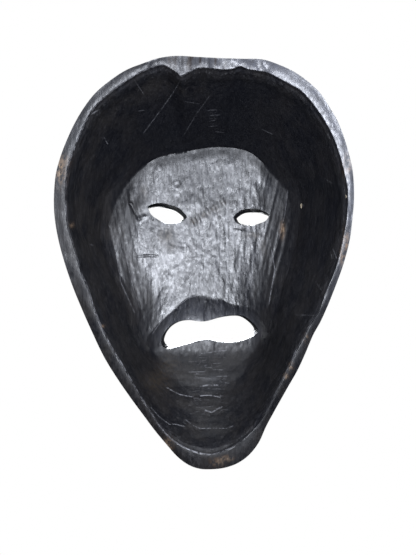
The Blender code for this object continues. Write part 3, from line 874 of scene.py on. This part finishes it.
class Skin:
    """Where each point of the mask's mesh lies on the carving, and its looks there."""

    def __init__(self, mesh):
        self.count = len(mesh.vertices)
        points, normals = np.empty(self.count * 3, np.float32), np.empty(self.count * 3, np.float32)
        mesh.vertices.foreach_get("co", points)
        mesh.vertices.foreach_get("normal", normals)
        self.points = points.reshape(-1, 3).astype(float) / MM + (0, 0, ORIGIN_Z)
        self.x, self.y, self.z = self.points.T
        angles = np.arctan2(self.z - POLE[1], self.x - POLE[0])
        reach = np.hypot(self.z - POLE[1], self.x - POLE[0])
        inner_edge = outline_radius(RIM_INNER, angles)
        self.angles = angles
        self.gap = reach - inner_edge  # how far outside the rim's inner edge
        self.share = reach / outline_radius(FOOT_OUTLINE, angles)
        self.hollow = ramp(normals.reshape(-1, 3)[:, 1], 0.0, 0.2)
        self.rim_face = ramp(reach, inner_edge - 0.8, inner_edge + 0.4)
        self.bevel = np.exp(-(((self.gap + 4) / 4) ** 2)) * ramp(self.y, -14, -8)
        self.lower = ramp(-self.z, 205, 225)

    def round_rim(self, table):
        """A table of bearing and strength, read at each point."""
        degrees = np.mod(np.degrees(self.angles), 360)
        return smooth_through([e[0] for e in table], [e[1] for e in table], degrees, 360.0)

    def wear(self):
        wear = np.zeros(self.count)
        for at, size, strength in WORN_SPOTS:
            wear = np.maximum(wear, strength * np.exp(-(((self.points - at) / size) ** 2).sum(axis=1)))
        return wear

    def stain(self):
        stain = np.zeros(self.count)
        for at, size, strength in STAINS:
            stain = np.maximum(stain, strength * bump(self.x, self.z, at, size))
        return stain * self.hollow

    def marks(self):
        """How far each point is to the side of the painted line that shows most there, and how strongly.

        The distance is scaled so that a scratch's width is 0.5.
        """
        offset, strength = np.full(self.count, 9.0), np.zeros(self.count)
        for corners, width, bright in SCRATCHES_AND_GLINTS + rows_of_marks():
            for start, end in zip(corners, corners[1:], strict=False):
                ax, az = end[0] - start[0], end[1] - start[1]
                length = math.hypot(ax, az)
                along = ((self.x - start[0]) * ax + (self.z - start[1]) * az) / length
                side = ((self.x - start[0]) * az - (self.z - start[1]) * ax) / length
                within = np.minimum(ramp(along, -1.2, 0.8), 1 - ramp(along, length - 0.8, length + 1.2))
                near = bright * within * (1 - ramp(np.abs(side), 1.8, 3.0))
                nearer = near * (1.2 - 0.2 * np.abs(side)) > strength * (1.2 - 0.2 * np.abs(offset))
                offset = np.where(nearer, side * 0.5 / width, offset)
                strength = np.where(nearer, near, strength)
        return offset, strength * self.hollow

    def edge(self):
        """The pale line on the rim's inner edge, partly bare rubbed wood and partly a painted glint on the
        side that faces the light, in the form of marks.
        """
        patchy = 0.7 + 0.4 * noise(self.angles * 22, 0.5, 91)
        strength = self.round_rim(EDGE_SHINE) * patchy * ramp(self.y, -9, -6) * self.hollow
        return self.gap + 0.5, strength

    def gloss(self):
        x, z, share, lower = self.x, self.z, self.share, self.lower
        inner = 1 - ramp(share, 0.86, 0.99)
        gloss = inner * (1 - 0.97 * lower) + (1 - inner) * 0.12
        # Two dips, on the nose and on the +X brow, and the side bands below take gloss away: a higher
        # roughness, and a darker colour there that is painted shade.
        gloss *= 1 - 0.45 * bump(x, z, (-3, -170), (20, 14)) - 0.35 * bump(x, z, (30, -82), (26, 12))
        gloss = np.maximum(gloss, 0.08 * lower * (1 - ramp(np.abs(x - 4), 20, 60)))
        bands = ramp(-z, 92, 110) * (1 - lower) * (1 - ramp(share, 1.0, 1.06))
        gloss = np.maximum(gloss * (1 - 0.85 * bands * ramp(share, 0.68, 0.80)), 0.10 * bands)
        gloss = np.maximum(gloss, 0.45 * self.bevel)
        # On the rim's face the gloss follows RIM_GLOSS, highest from the top round to the -X side: a lower
        # roughness, and a lighter colour there that is painted highlight.
        gloss = gloss * (1 - self.rim_face) + self.round_rim(RIM_GLOSS) * self.rim_face
        return gloss * self.hollow + 0.25 * (1 - self.hollow)

    def sheen_paint(self):
        """Painted highlight on the rim's face from its top round to the -X side, and painted sheen in the
        scoop behind the lips: a bluish grey laid into the colour.
        """
        scoop = lip_scoop(self.x, self.z) / LIP_HOLLOW * ramp(self.z, -222, -206) * (1 - self.rim_face)
        return np.maximum(self.round_rim(RIM_SHEEN_PAINT) * self.rim_face, 0.35 * scoop) * self.hollow

    def groove_shade(self):
        """Painted shade in the splits along the grain of the lug."""
        x, z = self.x, self.z
        lug = self.rim_face * ramp(z, -14, -6) * ramp(x, -24, -14) * (1 - ramp(x, 26, 32))
        splits = ramp(noise(x / 1.3 + 0.04 * z, z / 30, 95) + 0.5 * noise(x / 6, 0.5, 97), 0.05, 0.6)
        return lug * splits * self.hollow

    def dust_and_light(self):
        # Partly a real grey-brown dust film and partly painted light: laid on the +X wall, the lower
        # hollow, the bevel and near the rim, where light falls, and kept off the top wall, which is in
        # shade.
        x, z = self.x, self.z
        left = ramp(x, 20, 75) * ramp(-z, 60, 130)
        dust_and_light = np.maximum(0.95 * left, 0.55 * ramp(-z, 110, 190))
        dust_and_light = np.maximum(dust_and_light, 0.9 * ramp(-z, 190, 260) * (0.55 + 0.45 * ramp(x, -20, 20)))
        dust_and_light = np.maximum(dust_and_light, 0.25 * ramp(np.abs(x), 25, 60))
        near_rim = np.exp(-(((self.gap + 9) / 9) ** 2)) * ramp(x, -30, 20)
        dust_and_light = np.maximum(np.maximum(dust_and_light, self.bevel), 0.9 * near_rim * (1 - self.rim_face))
        return dust_and_light * self.hollow + 0.35 * (1 - self.hollow)


def store_looks(body):
    """Writes how polished, bare, stained, dusty and scratched the wood is at each point, and where painted
    light, highlights, glints and shade go.
    """
    skin = Skin(body.data)
    looks = {"wear": skin.wear(), "stain": skin.stain()}
    looks["mark_offset"], looks["mark_strength"] = skin.marks()
    looks["edge_offset"], looks["edge_strength"] = skin.edge()
    looks |= {"gloss": skin.gloss(), "sheen_paint": skin.sheen_paint(), "groove_shade": skin.groove_shade(), "dust_and_light": skin.dust_and_light()}
    for name, values in looks.items():
        layer = body.data.attributes.new(name, "FLOAT", "POINT")
        layer.data.foreach_set("value", np.asarray(values, np.float32))


# ---------------------------------------------------------------- camera, light and floor
CAMERA_PLACE = (-0.003, 1.0, -0.160)
CAMERA_LENS = 87.0

COOL_WHITE = (0.93, 0.96, 1.0)
# Softboxes: name, place, aim, size, power and colour
SOFTBOXES = (
    ("key", (-0.13, 1.5, 0.12), (0, 0, -0.15), (0.95, 0.55), 35, (0.87, 0.91, 1.0)),
    ("top", (0.0, 0.45, 1.0), (0, 0, -0.2), (1.2, 0.7), 3, COOL_WHITE),
    ("face_key", (0.5, -0.85, 1.15), (0, -0.05, -0.15), (1.5, 1.2), 48, COOL_WHITE),
    ("face_front", (0.1, -1.7, 0.1), (0, -0.05, -0.15), (0.4, 0.6), 20, COOL_WHITE),
    ("side_right", (1.6, -0.5, -0.1), (0, -0.05, -0.2), (0.8, 0.9), 17, COOL_WHITE),
    ("side_left", (-1.6, -0.5, -0.1), (0, -0.05, -0.2), (0.8, 0.9), 13, COOL_WHITE),
)
FILL_COLOUR = (0.62, 0.70, 0.85, 1)
FILL_STRENGTH = 0.012

FLOOR_RADIUS = 1.15
FLOOR_HEIGHT = -0.62
FLOOR_COLOUR = (0.9, 0.9, 0.9, 1)
FLOOR_ROUGHNESS = 0.9


def camera():
    """Stands straight behind the mask and looks along -Y."""
    data = bpy.data.cameras.new("camera")
    data.lens = CAMERA_LENS
    obj = bpy.data.objects.new("camera", data)
    obj.location = CAMERA_PLACE
    obj.rotation_euler = (math.pi / 2, 0, math.pi)
    bpy.context.scene.collection.objects.link(obj)
    bpy.context.scene.camera = obj


def softbox(name, place, aim, size, power, colour):
    data = bpy.data.lights.new(name, "AREA")
    data.shape = "RECTANGLE"
    data.size, data.size_y = size
    data.energy = power
    data.color = colour
    obj = bpy.data.objects.new(name, data)
    obj.location = place
    obj.rotation_mode = "QUATERNION"
    obj.rotation_quaternion = (Vector(aim) - Vector(place)).to_track_quat("-Z", "Y")
    obj.visible_camera = False
    bpy.context.scene.collection.objects.link(obj)


def studio():
    """A white backdrop for the camera, a weak bluish fill for everything else, and the softboxes."""
    scene = bpy.context.scene
    scene.view_settings.view_transform = "Standard"
    world = bpy.data.worlds.new("studio")
    world.use_nodes = True
    tree = world.node_tree
    backdrop = tree.nodes["Background"]
    backdrop.inputs["Color"].default_value = (1, 1, 1, 1)
    fill = tree.nodes.new("ShaderNodeBackground")
    fill.inputs["Color"].default_value = FILL_COLOUR
    fill.inputs["Strength"].default_value = FILL_STRENGTH
    seen = tree.nodes.new("ShaderNodeLightPath")
    mix = tree.nodes.new("ShaderNodeMixShader")
    tree.links.new(seen.outputs["Is Camera Ray"], mix.inputs[0])
    tree.links.new(fill.outputs[0], mix.inputs[1])
    tree.links.new(backdrop.outputs[0], mix.inputs[2])
    tree.links.new(mix.outputs[0], tree.nodes["World Output"].inputs["Surface"])
    scene.world = world
    for settings in SOFTBOXES:
        softbox(*settings)


def floor():
    """A round white sheet below the mask with a painted glow that rises towards its edge, so that it has
    no horizon.
    """
    bpy.ops.mesh.primitive_circle_add(
        vertices=96, radius=FLOOR_RADIUS, fill_type="NGON", location=(0, 0, FLOOR_HEIGHT)
    )
    obj = bpy.context.object
    obj.name = "floor"
    n = Nodes("floor_paper")
    n.shader.inputs["Base Color"].default_value = FLOOR_COLOUR
    n.shader.inputs["Roughness"].default_value = FLOOR_ROUGHNESS
    coords = n.add("ShaderNodeTexCoord")
    length = n.add("ShaderNodeVectorMath", operation="LENGTH")
    n.link(coords.outputs["Object"], length.inputs[0])
    # Painted glow: the floor emits light of its own, more towards its edge
    n.shader.inputs["Emission Color"].default_value = (1, 1, 1, 1)
    n.link(n.ramp(length.outputs["Value"], 0.15, 0.95, 0.55, 1.0), n.shader.inputs["Emission Strength"])
    obj.data.materials.append(n.material)
    obj.visible_glossy = False
    obj.visible_diffuse = False


# ---------------------------------------------------------------- scene
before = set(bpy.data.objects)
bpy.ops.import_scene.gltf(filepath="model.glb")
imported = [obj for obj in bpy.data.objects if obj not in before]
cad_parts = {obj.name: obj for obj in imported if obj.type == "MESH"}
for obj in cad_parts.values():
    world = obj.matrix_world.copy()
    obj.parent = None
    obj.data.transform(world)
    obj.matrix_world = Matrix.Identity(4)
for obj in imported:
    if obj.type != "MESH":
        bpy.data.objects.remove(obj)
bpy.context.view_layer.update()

body = mask_body()
store_looks(body)
body.data.materials.clear()
body.data.materials.append(blackened_wood())
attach(body, "root")
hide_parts("mask_body")

# The rim peg's end is all bare wood, and the wall peg's only in a sliver
for name, bare_from in (("rim_peg", -0.2), ("wall_peg", -0.0768)):
    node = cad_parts[name]
    node.data.materials.clear()
    node.data.materials.append(peg_wood(name + "_wood", bare_from))

studio()
floor()
camera()
